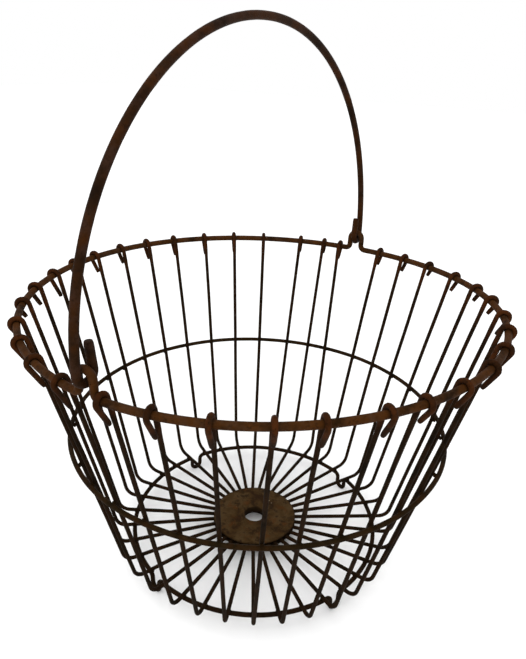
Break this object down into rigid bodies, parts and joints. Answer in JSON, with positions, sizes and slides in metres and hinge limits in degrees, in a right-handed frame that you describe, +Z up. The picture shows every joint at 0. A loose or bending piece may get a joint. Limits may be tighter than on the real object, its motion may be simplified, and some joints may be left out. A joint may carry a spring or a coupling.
{
  "type": "fruit picker basket",
  "caption": "Rusty round wire basket, wider at the top, with bent wire ribs from a flat hub, a heavy rim with ears, a welded hoop, a footed base ring and a swinging bail handle.",
  "frame": {"origin": "on the ground at the centre of the base ring, under the middle of the bail", "axes": "+Z up, towards the top of the bail; X runs through the rim's two ears, along the bail's swing axis; -Y is the side where the rim stands slightly higher"},
  "size_m": [0.3608, 0.3554, 0.4115],
  "materials": {
    "rusty_wire": "brown rust, matt, with lighter and purplish patches",
    "dark_wire": "dark brown rust, matt",
    "bail_wire": "brown rust, smoother where it is held",
    "hub_sheet": "olive brown rusty sheet with darker patches and pale specks"
  },
  "bodies": {
    "basket": {"rim": "rusty_wire", "mid_hoop": "rusty_wire", "base_ring": "dark_wire", "hub_top_plate": "hub_sheet", "hub_bottom_plate": "hub_sheet", "rib_01": "dark_wire", "rib_02": "dark_wire", "rib_03": "dark_wire", "rib_04": "dark_wire", "rib_05": "dark_wire", "rib_06": "dark_wire", "rib_07": "dark_wire", "rib_08": "dark_wire", "rib_09": "dark_wire", "rib_10": "dark_wire", "rib_11": "dark_wire", "rib_12": "dark_wire", "rib_13": "dark_wire", "rib_14": "dark_wire", "rib_15": "dark_wire", "rib_16": "dark_wire", "rib_17": "dark_wire", "rib_18": "dark_wire", "rib_19": "dark_wire", "rib_20": "dark_wire", "rib_21": "dark_wire", "rib_22": "dark_wire", "rib_23": "dark_wire", "rib_24": "dark_wire", "rib_25": "dark_wire", "rib_26": "dark_wire", "rib_27": "dark_wire", "rib_28": "dark_wire", "rib_29": "dark_wire", "rib_30": "dark_wire", "rib_31": "dark_wire", "rib_32": "dark_wire", "rib_33": "dark_wire", "rib_34": "dark_wire", "rib_35": "dark_wire", "rib_36": "dark_wire"},
    "bail": {"bail": "bail_wire"}
  },
  "joints": [
    {"name": "bail_swing", "type": "hinge", "parent": "basket", "child": "bail", "pos_m": [0, 0.0018, 0.2272], "axis": [1, 0, 0], "range_deg": [-88, 90]}
  ]
}
